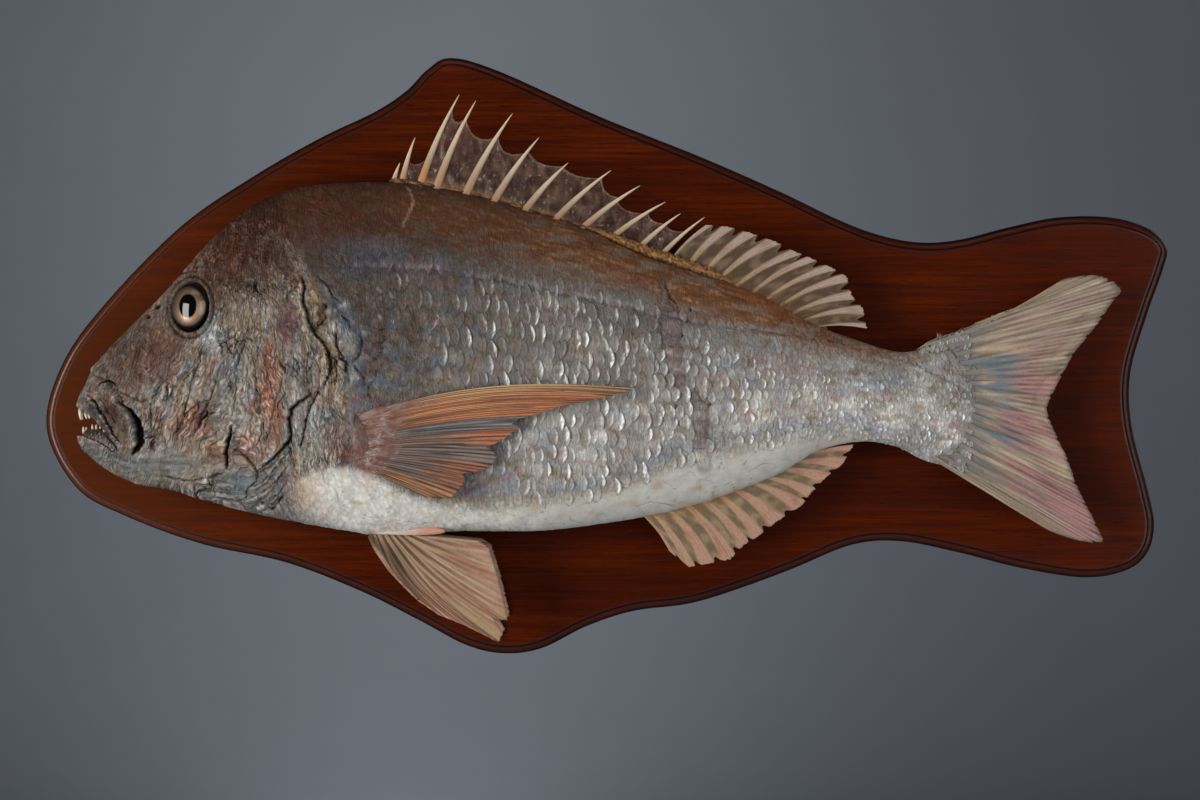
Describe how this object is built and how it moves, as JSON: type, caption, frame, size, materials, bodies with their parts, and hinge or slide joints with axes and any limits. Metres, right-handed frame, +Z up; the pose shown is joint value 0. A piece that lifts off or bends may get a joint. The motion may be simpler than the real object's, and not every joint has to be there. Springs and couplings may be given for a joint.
{
  "type": "mounted trophy snapper on a shaped board",
  "caption": "Life-size snapper mounted in profile on a dark stained wooden board whose outline follows the fish, flat at the back to hang on a wall.",
  "frame": {"origin": "middle of the board's flat back face, which lies against the wall", "axes": "+Z up, +Y into the wall, +X towards the tail, so that the head points to -X and the fish's left side faces -Y"},
  "size_m": [0.8996, 0.1257, 0.4779],
  "materials": {
    "board_wood": "mahogany-red stained timber, satin varnish, nearly black moulded edge",
    "screw_brass": "dull countersunk screw heads",
    "fish_skin": "dried, lacquered fish skin: brown back, silvery scaled flank, cream belly",
    "fin_skin": "dried fins, cream and orange rays with thin greyish skin between them",
    "eye_glass": "painted glass eye, copper iris and black pupil"
  },
  "bodies": {
    "root": {"board": "board_wood", "screw_1": "screw_brass", "screw_2": "screw_brass", "screw_3": "screw_brass", "screw_4": "screw_brass", "head": "fish_skin", "gill_cover": "fish_skin", "upper_jaw": "fish_skin", "lower_jaw": "fish_skin", "trunk": "fish_skin", "tail_stalk": "fish_skin", "eye_left": "eye_glass", "dorsal_fin_spiny": "fin_skin", "dorsal_fin_soft": "fin_skin", "anal_fin": "fin_skin", "tail_fin": "fin_skin", "pelvic_fin_left": "fin_skin", "pelvic_fin_right": "fin_skin", "pectoral_fin_left": "fin_skin"}
  },
  "joints": []
}
